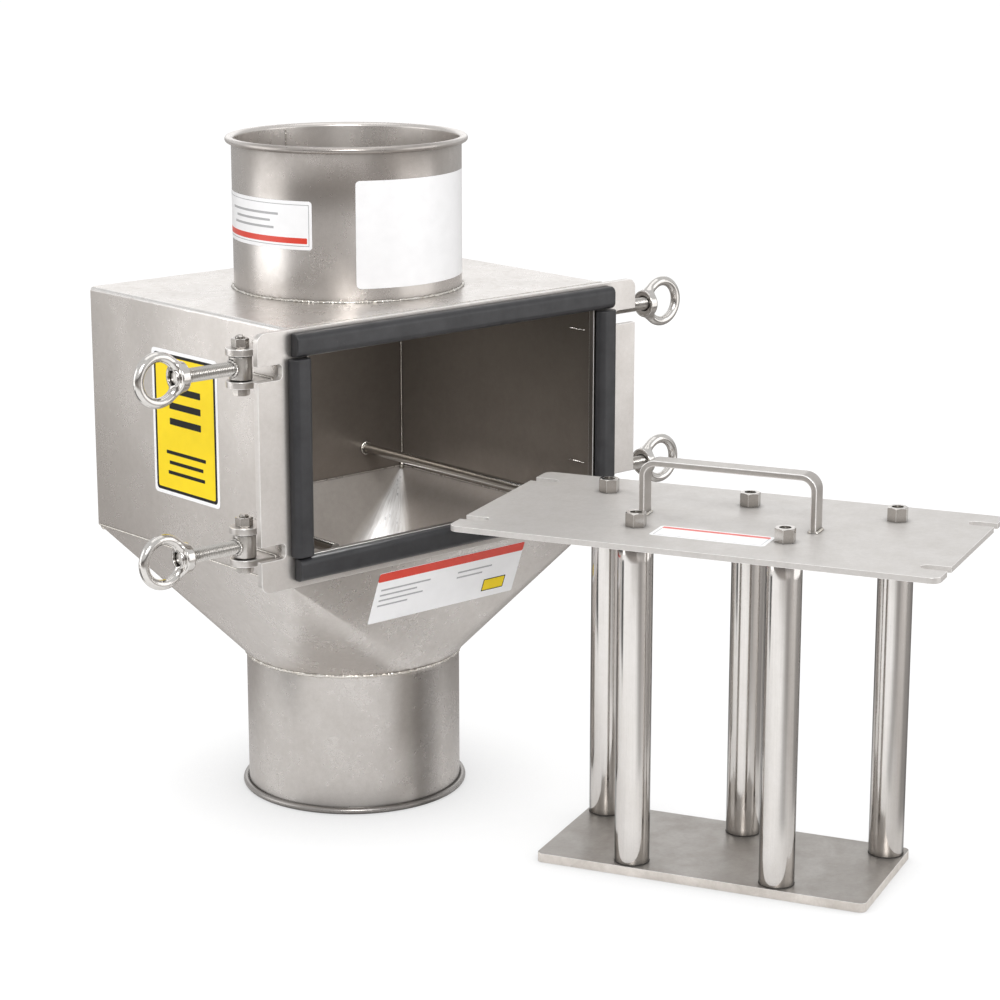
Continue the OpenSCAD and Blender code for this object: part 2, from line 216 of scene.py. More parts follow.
def rubber(name):
    m, k, b = material(name)
    co = coords(k)
    big = k.noise(co, 60.0, 4.0, 0.6)
    fine = k.noise(co, 1400.0, 2.0, 0.6)
    dust = k.noise(co, 420.0, 2.0, 0.5)
    col = k.ramp(big, [(0.3, (0.022, 0.022, 0.024)), (0.7, (0.035, 0.035, 0.038))])
    spots = k.ramp(dust, [(0.72, 0.0), (0.80, 1.0)])
    col = k.mix(k.math("MULTIPLY", spots, 0.10), col, (0.20, 0.20, 0.20))
    k.link(col, b.inputs["Base Color"])
    k.link(k.maprange(big, 0.3, 0.7, 0.44, 0.32), b.inputs["Roughness"])
    k.link(k.bump(fine, 0.18, 0.0002), b.inputs["Normal"])
    b.inputs["Specular IOR Level"].default_value = 0.45
    return m


def film(name, color, rough=0.32, tint=0.03, spec=0.5):
    m, k, b = material(name)
    co = coords(k)
    big = k.noise(co, 70.0, 3.0, 0.5)
    fine = k.noise(co, 2200.0, 1.0, 0.5)
    lo = tuple(c * (1 - tint) for c in color)
    hi = tuple(min(1.0, c * (1 + tint * 0.6)) for c in color)
    k.link(k.ramp(big, [(0.3, lo), (0.7, hi)]), b.inputs["Base Color"])
    k.link(k.maprange(big, 0.3, 0.7, rough * 1.15, rough * 0.88), b.inputs["Roughness"])
    k.link(k.bump(fine, 0.05, 0.0002), b.inputs["Normal"])
    b.inputs["Specular IOR Level"].default_value = spec
    return m


# inside of the hopper: a painted highlight fanning out on the corner cones, streaked along its rays, and painted shade
# on the slopes, the side slopes darker than the front and back ones
def inner_painted_light(k, co, col, r):
    x, y, z = k.xyz(co)
    dx = k.math("SUBTRACT", 0.178, k.math("ABSOLUTE", x))
    dy = k.math("SUBTRACT", 0.141, k.math("ABSOLUTE", y))
    phi = k.math("ARCTAN2", dy, dx)
    # painted highlight: a fan of light on each corner cone
    fan_highlight = k.band(phi, 0.36, 0.93, 0.11)
    v = k.add("ShaderNodeCombineXYZ")
    k.link(phi, v.inputs[0])
    k.link(k.math("MULTIPLY", z, 2.0), v.inputs[1])
    rays = k.noise(v.outputs[0], 26.0, 3.0, 0.6)
    fan_highlight = k.math("MULTIPLY", fan_highlight, k.maprange(rays, 0.30, 0.62, 0.35, 1.0))
    side = k.maprange(phi, 0.85, 1.15, 0.0, 1.0, True)
    # painted shade: the front and back slopes darker, the side slopes darker still
    dull_and_shade = k.mix(side, k.mix(1.0, col, INNER_BACK, "MULTIPLY"), k.mix(1.0, col, INNER_SIDE, "MULTIPLY"))
    return k.mix(fan_highlight, dull_and_shade, INNER_FAN_HIGHLIGHT), k.math("SUBTRACT", r, k.math("MULTIPLY", fan_highlight, 0.06))


def housing_shade(k, co, col, r):
    x, y, z = k.xyz(co)
    # painted shade on the walls inside the box, darker towards the top
    ax = k.math("ABSOLUTE", x)
    inside = k.math("MULTIPLY", k.math("LESS_THAN", ax, 0.1790), k.math("LESS_THAN", y, 0.1420))
    inside = k.math("MULTIPLY", inside, k.math("GREATER_THAN", z, 0.2485))
    inside = k.math("MULTIPLY", inside, k.math("LESS_THAN", z, 0.4650))
    inner_wall_shade = k.ramp(k.maprange(z, 0.26, 0.46, 0.0, 1.0), [(0.0, INNER_LOW), (1.0, INNER_TOP)])
    col = k.mix(inside, col, k.mix(1.0, col, inner_wall_shade, "MULTIPLY"))
    # painted highlight: a pale ragged line along the top fold of the side walls
    fold_highlight = k.math("MULTIPLY", k.math("GREATER_THAN", ax, 0.1769), k.math("GREATER_THAN", z, k.maprange(k.noise(co, 55.0, 3.0, 0.6), 0.3, 0.7, 0.4634, 0.4622)))
    fold_highlight = k.math("MULTIPLY", fold_highlight, k.math("LESS_THAN", z, 0.4665))
    col = k.mix(k.math("MULTIPLY", fold_highlight, 0.55), col, (0.95, 0.94, 0.93))
    # painted shade: the outlet darkens towards the floor, darkest on its rolled rim
    floor_shade = k.ramp(k.maprange(z, 0.0, 0.034, 0.0, 1.0), [(0.0, 0.50), (0.17, 0.62), (0.21, 0.84), (0.45, 0.97), (1.0, 1.0)])
    col = k.mix(1.0, col, floor_shade, "MULTIPLY")
    # painted shade: the upper part of the inlet's front is darker
    facing = k.math("ADD", k.math("MULTIPLY", x, -0.6225), k.math("MULTIPLY", y, -0.7826))
    facing = k.maprange(facing, 0.045, 0.088, 0.0, 1.0, True)
    rim = k.math("MULTIPLY", facing, k.maprange(z, 0.538, 0.566, 0.0, 1.0, True))
    col = k.mix(rim, col, k.mix(1.0, col, (0.66, 0.645, 0.635), "MULTIPLY"))
    # painted highlight: a lighter band across the inlet's front below that
    belly_highlight = k.math("MULTIPLY", facing, k.band(z, 0.492, 0.540, 0.014))
    col = k.mix(belly_highlight, col, k.mix(1.0, col, (1.27, 1.28, 1.29), "MULTIPLY"))
    # painted shade: the side walls darken towards the back
    wall_shade = k.math("MULTIPLY", k.math("GREATER_THAN", ax, 0.1795), k.math("GREATER_THAN", z, 0.2479))
    wall_shade = k.math("MULTIPLY", wall_shade, k.maprange(y, -0.02, 0.130, 0.0, 1.0, True))
    col = k.mix(wall_shade, col, k.mix(1.0, col, (0.80, 0.795, 0.79), "MULTIPLY"))
    # the outlet is darker overall, with a painted dark reflection of the drawer in a band down its front
    pipe = k.maprange(z, 0.1245, 0.1275, 1.0, 0.0)
    col = k.mix(pipe, col, k.mix(1.0, col, (0.86, 0.86, 0.86), "MULTIPLY"))
    turn = k.math("ARCTAN2", x, k.math("MULTIPLY", y, -1.0))
    drawer_reflection = k.math("MULTIPLY", k.maprange(k.math("ABSOLUTE", k.math("SUBTRACT", turn, 0.03)), 0.02, 0.30, 1.0, 0.0, True), k.math("LESS_THAN", y, 0.0))
    col = k.mix(k.math("MULTIPLY", pipe, drawer_reflection), col, k.mix(1.0, col, (0.54, 0.535, 0.53), "MULTIPLY"))
    # brownish handling marks and heat tint next to the weld seams
    seam = k.band(z, 0.1265, 0.1320, 0.004)
    foot = k.band(z, 0.4655, 0.4695, 0.003)
    spot = k.ramp(k.noise(co, 130.0, 3.0, 0.6), [(0.50, 0.0), (0.66, 1.0)])
    tint = k.math("MULTIPLY", k.math("ADD", seam, foot, True), k.math("MULTIPLY", spot, 0.35))
    col = k.mix(tint, col, (0.33, 0.27, 0.21))
    r = k.math("ADD", r, k.math("MULTIPLY", inside, 0.06))
    k.dull_and_shade = k.math("MULTIPLY", inside, INNER_DULL)
    return col, r


def flange_shade(k, co, col, r):
    x, y, z = k.xyz(co)
    ax = k.math("ABSOLUTE", x)
    # painted shade: the inner faces of the opening are darkened
    cut = k.math("MULTIPLY", k.math("LESS_THAN", ax, 0.16205), k.math("GREATER_THAN", y, -0.1484))
    cut = k.math("MULTIPLY", cut, k.math("MULTIPLY", k.math("GREATER_THAN", z, 0.2738), k.math("LESS_THAN", z, 0.4438)))
    # painted shade: a dark strip on the flange beside the inner edge of each side seal
    gap_shade = k.math("MULTIPLY", k.math("MULTIPLY", k.math("GREATER_THAN", ax, 0.1629), k.math("LESS_THAN", ax, 0.1660)),
                 k.math("MULTIPLY", k.math("GREATER_THAN", z, 0.274), k.math("LESS_THAN", z, 0.4437)))
    col = k.mix(gap_shade, col, (0.035, 0.032, 0.030))
    return k.mix(cut, col, (0.16, 0.145, 0.13)), r


def end_shade(k, co, col, r):
    x, y, z = k.xyz(co)
    # painted light: the end plate's sides are lighter and its top darker
    col = k.mix(k.math("GREATER_THAN", z, 0.0078), k.mix(1.0, col, 1.85, "MULTIPLY"), k.mix(1.0, col, 0.86, "MULTIPLY"))
    patch = k.ramp(k.noise(co, 34.0, 4.0, 0.62, dist=0.6), [(0.38, 0.0), (0.64, 1.0)])
    col = k.mix(k.math("MULTIPLY", patch, 0.30), col, (0.30, 0.265, 0.235))
    return col, k.math("ADD", r, k.math("MULTIPLY", patch, 0.08))


# painted shade on the inside walls of the box, low and top; painted shade on the hopper's inside slopes, back and side;
# the painted fan highlight; and how much less metallic the inside of the box is
INNER_LOW = (0.30, 0.275, 0.25)
INNER_TOP = (0.135, 0.122, 0.105)
INNER_DULL = 0.35
INNER_BACK, INNER_SIDE, INNER_FAN_HIGHLIGHT = (0.62, 0.605, 0.59), (0.42, 0.40, 0.385), (0.97, 0.965, 0.96)

M = {
    "blasted_steel": steel("m_blasted_steel", (0.655, 0.622, 0.597), 0.28, tint=0.045, wave=0.10, metallic=0.92, shade=housing_shade),
    "plate_steel": steel("m_plate_steel", (0.70, 0.68, 0.66), 0.36, tint=0.035, blotch=40.0, wave=0.03, metallic=0.60),
    "bright_steel": steel("m_bright_steel", (0.62, 0.60, 0.57), 0.22, tint=0.03, blotch=90.0, grain_bump=0.04),
    "polished_steel": steel("m_polished_steel", (0.66, 0.64, 0.62), 0.12, tint=0.02, blotch=80.0, grain=500.0, grain_bump=0.015),
    "tube_steel": steel("m_tube_steel", (0.70, 0.675, 0.655), 0.115, tint=0.02, blotch=30.0, grain_bump=0.02,
                        brushed=(900.0, 900.0, 14.0), brush_bump=0.03, edge_shade=0.9),
    "seal_rubber": rubber("m_seal_rubber"),
    "label_white": film("m_label_white", (0.94, 0.94, 0.95)),
    "label_yellow": film("m_label_yellow", (0.95, 0.70, 0.012), spec=0.2),
    "label_black": film("m_label_black", (0.012, 0.012, 0.012), spec=0.15),
    "label_red": film("m_label_red", (0.72, 0.055, 0.03)),
    "magnet_alloy": steel("m_magnet_alloy", (0.50, 0.50, 0.51), 0.30),
    "pole_iron": steel("m_pole_iron", (0.38, 0.38, 0.39), 0.35),
}
M_WELD = steel("m_weld", (0.78, 0.76, 0.73), 0.25, tint=0.10, blotch=160.0, grain_bump=0.10, warm=(0.95, 0.90, 0.82))
M_END = steel("m_end_plate", (0.42, 0.396, 0.373), 0.34, tint=0.05, blotch=40.0, wave=0.03, metallic=0.75, shade=end_shade, crevice_shade=0.25)
M_INNER = steel("m_hopper_inner", (0.66, 0.63, 0.605), 0.34, tint=0.05, wave=0.08, metallic=0.45, shade=inner_painted_light)
M_FLANGE = steel("m_flange", (0.66, 0.632, 0.61), 0.34, tint=0.035, blotch=40.0, wave=0.04, metallic=0.88, shade=flange_shade)
M_FACE = steel("m_face_plate", (0.60, 0.578, 0.56), 0.44, tint=0.035, blotch=40.0, wave=0.03, metallic=0.35)
M_HANDLE = steel("m_handle", (0.48, 0.453, 0.43), 0.34, tint=0.04, blotch=50.0, wave=0.03, metallic=0.80)
M_NUT = steel("m_nut", (0.52, 0.495, 0.47), 0.15, tint=0.05, blotch=120.0, grain_bump=0.04)
M_ROD = steel("m_swing_bolt", (0.68, 0.657, 0.63), 0.30, tint=0.04, blotch=120.0, grain_bump=0.05)
# bevel faces: partly worn, polished edges and partly a painted highlight along the edges
M_EDGE = steel("m_worn_and_highlit_edge", (0.90, 0.885, 0.87), 0.30, tint=0.08, blotch=120.0, metallic=0.50, crevice_shade=0.5)
# painted shade: a near-black ring put at the foot of each tube, where it meets the end plate
M_CONTACT_SHADE = steel("m_contact_shade", (0.05, 0.046, 0.042), 0.5, metallic=0.3)
M_LINE = film("m_label_line", (0.42, 0.42, 0.43))

for name, o in NODES.items():
    mat = {"end_plate": M_END, "face_plate": M_FACE, "handle": M_HANDLE, "front_flange": M_FLANGE}.get(name, M[SLOT[name]])
    for s in o.material_slots:
        s.material = mat
    if not o.material_slots:
        o.data.materials.append(mat)


# ------------------------------------------------------------------ mesh helpers (millimetres in, metres out)
class Geo:
    def __init__(self):
        self.v, self.f = [], []

    def add(self, verts, faces):
        n = len(self.v)
        self.v.extend([tuple(map(float, p)) for p in verts])
        self.f.extend([tuple(int(i) + n for i in f) for f in faces])
        return self

    def mesh(self, name, angle=40.0):
        me = bpy.data.meshes.new(name)
        me.from_pydata([(x * MM, y * MM, z * MM) for x, y, z in self.v], [], self.f)
        me.update()
        shade_by_angle(me, angle)
        return me


def shade_by_angle(me, angle):
    bm = bmesh.new()
    bm.from_mesh(me)
    lim = math.radians(angle)
    for f in bm.faces:
        f.smooth = True
    for e in bm.edges:
        e.smooth = not (len(e.link_faces) == 2 and e.calc_face_angle(0.0) > lim)
    bm.to_mesh(me)
    bm.free()


def piece(name, me, slot, body, nodes=(), mat=None):
    o = bpy.data.objects.new(name, me)
    scene.collection.objects.link(o)
    me.materials.clear()
    me.materials.append(mat or M[slot])
    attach(o, body)
    if nodes:
        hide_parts(*nodes)
    return o


# copy of a CAD mesh with softly rounded edges and even shading
def refine(node, bevel=0.5, seg=2, angle=32.0, mat=None, edge=None):
    me = NODES[node].data.copy()
    bm = bmesh.new()
    bm.from_mesh(me)
    bmesh.ops.remove_doubles(bm, verts=bm.verts, dist=2e-5)
    bmesh.ops.dissolve_limit(bm, angle_limit=math.radians(0.6), verts=bm.verts, edges=bm.edges, delimit=set())
    lim = math.radians(angle)
    if bevel:
        edges = [e for e in bm.edges if len(e.link_faces) == 2 and e.calc_face_angle(0.0) > lim]
        done = bmesh.ops.bevel(bm, geom=edges, offset=bevel * MM, offset_type="OFFSET", segments=seg, profile=0.5,
                               affect="EDGES", clamp_overlap=True)
        for f in done["faces"]:
            f.material_index = 7
    for f in bm.faces:
        f.smooth = True
    for e in bm.edges:
        e.smooth = not (len(e.link_faces) == 2 and e.calc_face_angle(0.0) > math.radians(50))
    bmesh.ops.triangulate(bm, faces=bm.faces)
    # the bevel faces take the edge material: worn edges with a painted highlight
    worn_and_highlit = [1 if edge and f.material_index == 7 else 0 for f in bm.faces]
    bm.to_mesh(me)
    bm.free()
    o = piece("v_" + node, me, SLOT[node], BODY[node], (node,), mat)
    if edge:
        me.materials.append(edge)
    me.polygons.foreach_set("material_index", worn_and_highlit)
    w = o.modifiers.new("even", "WEIGHTED_NORMAL")
    w.keep_sharp = True
    w.weight = 90
    return o


def revolved(profile, n, closed=True):
    verts, faces = [], []
    m = len(profile)
    for i in range(n):
        a = 2 * math.pi * i / n
        c, s = math.cos(a), math.sin(a)
        verts += [(r * c, r * s, z) for r, z in profile]
    for i in range(n):
        j = (i + 1) % n
        for q in range(m if closed else m - 1):
            t = (q + 1) % m
            faces.append((i * m + q, j * m + q, j * m + t, i * m + t))
    return verts, faces


# round bar along a line of points; radius and centre may vary
def sweep(pts, radius, up=(0, 0, 1), closed=False, seg=8, flat=1.0):
    P = np.array(pts, float)
    n = len(P)
    if closed:
        T = np.roll(P, -1, 0) - np.roll(P, 1, 0)
    else:
        T = np.gradient(P, axis=0)
    T /= np.linalg.norm(T, axis=1)[:, None] + 1e-12
    U = np.array(up, float)
    if U.ndim == 1:
        U = np.repeat(U[None], n, 0)
    S = np.cross(T, U)
    S /= np.linalg.norm(S, axis=1)[:, None] + 1e-12
    N = np.cross(S, T)
    R = np.array([radius] * n if np.isscalar(radius) else radius, float)
    verts, faces = [], []
    for i in range(n):
        for q in range(seg):
            a = 2 * math.pi * q / seg
            verts.append(P[i] + R[i] * (math.cos(a) * S[i] + math.sin(a) * flat * N[i]))
    for i in range(n if closed else n - 1):
        j = (i + 1) % n
        for q in range(seg):
            t = (q + 1) % seg
            faces.append((i * seg + q, j * seg + q, j * seg + t, i * seg + t))
    if not closed:
        for i, d in ((0, 1), (n - 1, -1)):
            verts.append(P[i] - T[i] * R[i] * 0.45 * d)
            c = len(verts) - 1
            for q in range(seg):
                t = (q + 1) % seg
                faces.append((c, i * seg + q, i * seg + t) if d > 0 else (c, i * seg + t, i * seg + q))
    # every sweep faces outwards, whichever way round its line runs
    V = np.array(verts)
    f = faces[0]
    nrm = np.cross(V[f[1]] - V[f[0]], V[f[2]] - V[f[0]])
    if np.dot(nrm, V[f[0]] - P[0]) < 0:
        faces = [tuple(reversed(q)) for q in faces]
    return verts, faces


def resample(pts, step, closed=False):
    P = np.array(pts, float)
    if closed:
        P = np.vstack([P, P[:1]])
    d = np.linalg.norm(np.diff(P, axis=0), axis=1)
    s = np.concatenate([[0], np.cumsum(d)])
    n = max(3, int(round(s[-1] / step)))
    t = np.linspace(0, s[-1], n + 1)
    out = np.stack([np.interp(t, s, P[:, i]) for i in range(3)], -1)
    return (out[:-1], t[:-1]) if closed else (out, t)


# weld bead: a half buried bar with even scallops, small swellings and a slightly wandering line
def bead(pts, r, closed=False, up=(0, 0, 1), seed=0.0, step=0.45, pitch=None, ripple=0.13, rough=0.16, seg=8, flat=1.0):
    P, t = resample(pts, step, closed)
    pitch = pitch or r * 1.25
    length = t[-1] + step
    count = max(2, round(length / pitch))
    n1 = np.array([noise.noise(Vector(p) * 0.16 + Vector((seed, 0, 0))) for p in P])
    n2 = np.array([noise.noise(Vector(p) * 0.55 + Vector((0, seed, 7.0))) for p in P])
    ph = 2 * math.pi * count * t / length
    rad = r * (1 + ripple * np.sin(ph + 1.5 * n2) + rough * n1 + 0.6 * rough * n2)
    P = P + np.stack([np.array([noise.noise(Vector(p) * 0.4 + Vector((0, 9.0 + j, seed))) for p in P]) for j in range(3)], -1) * r * 0.16
    return sweep(P, rad, up, closed, seg, flat)


def arc(r, z, a0, a1, n=200, cx=0.0, cy=0.0):
    return [(cx + r * math.cos(math.radians(a0 + (a1 - a0) * i / n)), cy + r * math.sin(math.radians(a0 + (a1 - a0) * i / n)), z)
            for i in range(n + 1)]


# ------------------------------------------------------------------ sizes of the frame, in millimetres
RI, RO, SHEET = 102.0, 98.0, 2.0
Z_HOP, ZB, ZT, ZTOP = 129.0, 248.0, 466.0, 600.0
XB, YB, YF, YFF = 180.0, 143.0, -143.0, -149.0
ZC, SLOT_Z, PIN_X, PIN_Y = 357.0, 75.5, 203.0, -111.0
DX, DY, TURN = 98.0, -379.0, math.radians(-65.45)
ROWS = [(-129.0, 58.0), (0.0, 58.0), (129.0, 58.0), (-64.5, -46.0), (64.5, -46.0)]
DRAWER_H, PLATE_T, END_T = 302.0, 5.0, 8.0
HANDLE_U, HANDLE_V, HANDLE_L, HANDLE_W = 2.5, -4.0, 155.0, 18.0


def drawer(u, v, z):
    c, s = math.cos(TURN), math.sin(TURN)
    return (DX + u * c - v * s, DY + u * s + v * c, z)


# ------------------------------------------------------------------ spigots with a rolled rim
def spigot(node, r, z0, h, up):
    prof = [(r - 2, 0.0), (r - 2, h * 0.33), (r - 2, h * 0.66), (r - 2, h - 3.6)]
    for i in range(1, 9):
        a = math.pi / 2 * i / 8
        prof.append((r + 2.5 - 4.5 * math.cos(a), h - 3.6 + 3.6 * math.sin(a)))
    for i in range(1, 25):
        a = math.radians(90 - 216 * i / 24)
        prof.append((r + 2.5 + 3 * math.cos(a), h - 3 + 3 * math.sin(a)))
    prof += [(r + 0.25, h - 5.0), (r, h - 5.5), (r, h * 0.66), (r, h * 0.33), (r, 0.0)]
    if not up:
        prof = [(q, h - z) for q, z in prof][::-1]
    prof = [(q, z + z0) for q, z in prof]
    v, f = revolved(prof[::-1], 288)
    piece("v_" + node, Geo().add(v, f).mesh(node, 48), SLOT[node], BODY[node], (node,))


spigot("inlet_spigot", RI, ZT, ZTOP - ZT, True)
spigot("outlet_spigot", RO, 0.0, Z_HOP, False)


# ------------------------------------------------------------------ hopper: four flat fields and four corner cones
def hopper():
    N = 36
    verts, faces, norms, inner = [], [], [], []

    def shell(r, x, y, z0, z1, sign):
        corners = [(x, y), (-x, y), (-x, -y), (x, -y)]
        def rim(a):
            return np.array((r * math.cos(a), r * math.sin(a), z0))
        for q, (cx, cy) in enumerate(corners):
            C = np.array((cx, cy, z1))
            D = np.array((*corners[(q + 1) % 4], z1))
            a0 = q * math.pi / 2
            def nrm(a):
                t = np.array((-math.sin(a), math.cos(a), 0.0))
                m = np.cross(t, C - rim(a))
                m /= np.linalg.norm(m)
                return m if np.dot(m[:2], rim(a)[:2]) > 0 else -m
            rows = 6
            for i in range(N):
                a, b = a0 + math.pi / 2 * i / N, a0 + math.pi / 2 * (i + 1) / N
                na, nb = nrm(a), nrm(b)
                for t in range(rows):
                    s0, s1 = t / rows, (t + 1) / rows
                    A0, B0 = rim(a) * (1 - s0) + C * s0, rim(b) * (1 - s0) + C * s0
                    A1, B1 = rim(a) * (1 - s1) + C * s1, rim(b) * (1 - s1) + C * s1
                    if t < rows - 1:
                        emit([A0, B0, B1, A1], [na, nb, nb, na], sign)
                    else:
                        emit([A0, B0, C], [na, nb, (na + nb) / 2], sign)
            E = rim(a0 + math.pi / 2)
            m = np.cross(C - E, D - E)
            m /= np.linalg.norm(m)
            if np.dot(m[:2], E[:2]) < 0:
                m = -m
            emit([E, D, C], [m, m, m], sign)

    def emit(P, Nn, sign):
        inner.append(1 if sign < 0 else 0)
        P, Nn = list(P), [v * sign for v in Nn]
        g = np.cross(P[1] - P[0], P[2] - P[0])
        if np.dot(g, Nn[0]) < 0:
            P, Nn = P[::-1], Nn[::-1]
        n0 = len(verts)
        verts.extend(P)
        faces.append(tuple(range(n0, n0 + len(P))))
        norms.extend(Nn)

    shell(RO, XB, YB, Z_HOP, ZB, 1.0)
    shell(RO - SHEET, XB - SHEET, YB - SHEET, Z_HOP, ZB, -1.0)
    dn, up = np.array((0, 0, -1.0)), np.array((0, 0, 1.0))
    for i in range(4 * N):
        a, b = 2 * math.pi * i / (4 * N), 2 * math.pi * (i + 1) / (4 * N)
        P = [np.array((q * math.cos(w), q * math.sin(w), Z_HOP)) for q, w in ((RO, a), (RO, b), (RO - SHEET, b), (RO - SHEET, a))]
        emit(P, [dn] * 4, 1.0)
    co = [(XB, YB), (-XB, YB), (-XB, -YB), (XB, -YB)]
    ci = [(XB - 2, YB - 2), (-XB + 2, YB - 2), (-XB + 2, -YB + 2), (XB - 2, -YB + 2)]
    for q in range(4):
        w = (q + 1) % 4
        emit([np.array((*co[q], ZB)), np.array((*co[w], ZB)), np.array((*ci[w], ZB)), np.array((*ci[q], ZB))], [up] * 4, 1.0)

    V = np.round(np.array(verts), 5)
    uniq, inv = np.unique(V, axis=0, return_inverse=True)
    inv = inv.reshape(-1)
    me = bpy.data.meshes.new("hopper")
    me.from_pydata([tuple(p * MM) for p in uniq], [], [tuple(int(inv[i]) for i in f) for f in faces])
    me.update()
    me.polygons.foreach_set("use_smooth", [True] * len(me.polygons))
    me.normals_split_custom_set([tuple(n) for n in norms])
    piece("v_hopper", me, SLOT["hopper"], BODY["hopper"], ("hopper",))
    me.materials.append(M_INNER)
    me.polygons.foreach_set("material_index", inner)
    me.update()


hopper()

# ------------------------------------------------------------------ plates, lugs, hinges, seals: softened edges
refine("box_wrap", 0.25)
refine("front_flange", 0.8, mat=M_FLANGE, edge=M_EDGE)
for s in ("left", "right"):
    for t in ("top", "bottom"):
        for u in ("upper", "lower"):
            refine(f"lug_{s}_{t}_{u}", 0.6, mat=M_FLANGE, edge=M_EDGE)
        refine(f"hinge_bolt_{s}_{t}", 0.3, angle=25, mat=M_NUT, edge=M_EDGE)
refine("hinge_nuts", 0.35, angle=25, mat=M_NUT, edge=M_EDGE)
for n in ("seal_top", "seal_bottom", "seal_left", "seal_right"):
    refine(n, 1.0, seg=3, angle=60)
refine("face_plate", 0.7, mat=M_FACE, edge=M_EDGE)
refine("handle", 0.8, mat=M_HANDLE, edge=M_EDGE)
refine("end_plate", 0.7, mat=M_END, edge=M_EDGE)
refine("tube_nuts", 0.4, angle=25, mat=M_NUT, edge=M_EDGE)


# ------------------------------------------------------------------ swing bolts: barrel and threaded rod
def threaded(x0, x1, r=6.0, depth=0.95, pitch=1.75, seg=36, per=7):
    step = pitch / per
    n = int(round((x1 - x0) / step))
    verts, faces = [], []
    for i in range(n + 1):
        x = x0 + (x1 - x0) * i / n
        cap = min(r, r - 1.0 + (x1 - x))
        for q in range(seg):
            a = 2 * math.pi * q / seg
            t = (x / pitch - q / seg) % 1.0
            tri = abs(2 * t - 1)
            tri = min(1.0, max(0.0, (tri - 0.12) / 0.76))
            rr = min(cap, r - depth * (1 - tri))
            verts.append((x, rr * math.cos(a), rr * math.sin(a)))
    for i in range(n):
        for q in range(seg):
            t = (q + 1) % seg
            faces.append((i * seg + q, i * seg + t, (i + 1) * seg + t, (i + 1) * seg + q))
    for i, d in ((0, 1), (n, -1)):
        verts.append((x0 if d > 0 else x1 + 0.25, 0, 0))
        c = len(verts) - 1
        for q in range(seg):
            t = (q + 1) % seg
            faces.append((c, i * seg + t, i * seg + q) if d > 0 else (c, i * seg + q, i * seg + t))
    faces = [tuple(reversed(f)) for f in faces]
    return verts, faces


def swing_bolt(side, level):
    s, t = (-1 if side == "left" else 1), (1 if level == "top" else -1)
    node = f"swing_bolt_{side}_{level}"
    g = Geo()
    prof = [(4.06, -10), (4.06, 10), (4.35, 10)]
    for i in range(1, 6):
        a = math.pi / 2 * i / 5
        prof.append((8.75 + math.sin(a), 9.0 + math.cos(a)))
    prof += [(9.75, -9.0)] + [(8.75 + math.cos(math.pi / 2 * i / 5), -9.0 - math.sin(math.pi / 2 * i / 5)) for i in range(1, 6)] + [(4.35, -10)]
    v, f = revolved(prof, 96)
    g.add(v, [tuple(reversed(q)) for q in f])
    v, f = threaded(7.0, 66.0)
    g.add(v, f)
    # weld ring where the rod meets the barrel
    ring = []
    for i in range(160):
        a = 2 * math.pi * i / 160
        y, z = 6.3 * math.cos(a), 6.3 * math.sin(a)
        ring.append((math.sqrt(9.75 ** 2 - y * y) + 0.35, y, z))
    v, f = bead(ring, 1.35, True, (1, 0, 0), seed=3.1 * (s + 2) + t, step=0.4, pitch=2.1, ripple=0.16, rough=0.35, seg=10)
    g.add(v, f)
    cx, cz = s * PIN_X, ZC + t * SLOT_Z
    g.v = [(cx + s * x, PIN_Y + y, cz + z) for x, y, z in g.v]
    if s < 0:
        g.f = [tuple(reversed(q)) for q in g.f]
    piece("v_" + node, g.mesh(node, 42), SLOT[node], BODY[node], (node,), M_ROD)


for s in ("left", "right"):
    for t in ("top", "bottom"):
        swing_bolt(s, t)


# ------------------------------------------------------------------ ring nuts: collar and ring in one smooth body
def smin(a, b, k):
    h = np.maximum(k - np.abs(a - b), 0) / k
    return np.minimum(a, b) - h * h * k * 0.25


def rounded_disc(q, x, r, x0, x1, rd):
    dx = np.abs(x - (x0 + x1) / 2) - (x1 - x0) / 2 + rd
    dr = q - r + rd
    return np.minimum(np.maximum(dx, dr), 0) + np.sqrt(np.maximum(dx, 0) ** 2 + np.maximum(dr, 0) ** 2) - rd


def ring_nut_field(p):
    x, y, z = p[:, 0], p[:, 1], p[:, 2]
    q = np.sqrt(y * y + z * z)
    collar = rounded_disc(q, x, 12.5, 0.0, 8.2, 1.1)
    boss = rounded_disc(q, x, 7.6, 3.0, 10.9, 0.5)
    torus = np.sqrt((np.sqrt((x - 24.5) ** 2 + z * z) - 18.875) ** 2 + y * y) - 4.375
    body = smin(smin(collar, torus, 5.5), boss, 0.8)
    bore = np.maximum(q - 6.06, x - 15.0)
    recess = np.maximum(q - 10.6, x - 0.6)
    cone = np.maximum((q - 7.6 + 0.9 * (x - 0.5)) * 0.74, x - 2.3)
    cut = np.minimum(np.minimum(bore, recess), cone)
    return -smin(-body, cut, 0.35)


